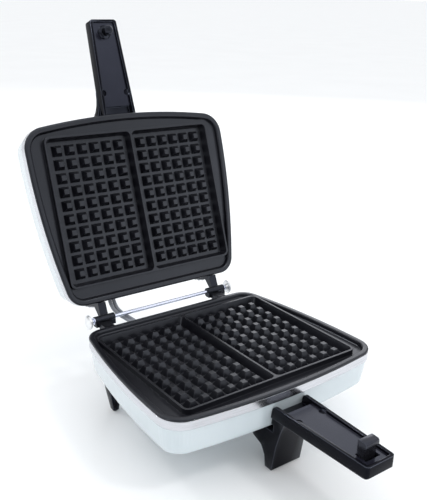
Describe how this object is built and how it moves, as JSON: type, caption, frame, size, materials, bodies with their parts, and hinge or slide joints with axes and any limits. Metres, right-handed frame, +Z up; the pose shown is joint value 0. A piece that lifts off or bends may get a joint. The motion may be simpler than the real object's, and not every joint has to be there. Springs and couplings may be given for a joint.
{
  "type": "waffle maker",
  "caption": "Open clamshell waffle maker with dark grid plates, pale shells, metal trim, long black channel handles, a front foot and rear legs",
  "frame": {"origin": "Middle of the footprint of the whole machine standing with its lid open, at the height of the table that its feet rest on.", "axes": "+X is the operator's right and runs along the hinge rod, +Y runs from the base handle's tip to the lid behind, +Z is up."},
  "size_m": [0.289, 0.5365, 0.4474],
  "materials": {
    "shell": "gloss",
    "trim": "satin",
    "plate": "satin",
    "heater": "satin",
    "base_pan": "satin",
    "fastener": "satin",
    "bracket": "satin",
    "rod": "polished",
    "cap": "satin",
    "handle": "satin",
    "liner": "satin",
    "rubber": "matte",
    "insulator": "matte",
    "lead": "matte",
    "cable": "satin",
    "hook": "satin",
    "lid_pan": "satin",
    "post": "gloss"
  },
  "bodies": {
    "base": {"base_shell": "shell", "base_trim_band": "trim", "base_plate": "plate", "base_heater": "heater", "base_heat_shield": "base_pan", "base_standoffs": "fastener", "base_plate_screws": "fastener", "base_hinge_bracket_left": "bracket", "base_hinge_bracket_right": "bracket", "base_bracket_screws": "fastener", "hinge_rod": "rod", "rod_cap_left": "cap", "rod_cap_right": "cap", "rod_washers": "rod", "base_handle": "handle", "base_handle_liner": "liner", "base_handle_screws": "fastener", "rear_leg_left": "handle", "rear_leg_right": "handle", "leg_screws": "fastener", "foot_pads": "rubber", "thermostat": "insulator", "thermal_fuse": "insulator", "terminal_block": "insulator", "base_leads": "lead", "mains_gland": "handle", "base_link_grommet": "rubber", "link_cable_left": "cable", "link_cable_right": "cable", "latch_pin": "fastener", "latch_spring": "fastener"},
    "lid": {"lid_shell": "shell", "lid_trim_band": "trim", "lid_plate": "plate", "lid_heater": "heater", "lid_heat_shield": "lid_pan", "lid_standoffs": "fastener", "lid_plate_screws": "fastener", "lid_hinge_bracket_left": "bracket", "lid_hinge_bracket_right": "bracket", "lid_bracket_screws": "fastener", "lid_handle": "handle", "lid_handle_liner": "liner", "lid_handle_screws": "fastener", "lid_link_grommet": "rubber", "latch_post": "post"},
    "latch": {"latch_hook": "hook"}
  },
  "joints": [
    {"name": "lid_hinge", "type": "hinge", "parent": "base", "child": "lid", "pos_m": [0, 0.1079, 0.0991], "axis": [1, 0, 0], "range_deg": [0, 110], "deforming": ["link_cable_left", "link_cable_right"]},
    {"name": "latch_pivot", "type": "hinge", "parent": "base", "child": "latch", "pos_m": [0, -0.2507, 0.074], "axis": [-1, 0, 0], "range_deg": [0, 12], "stiffness_Nm_per_rad": 0.05, "deforming": ["latch_spring"]}
  ]
}
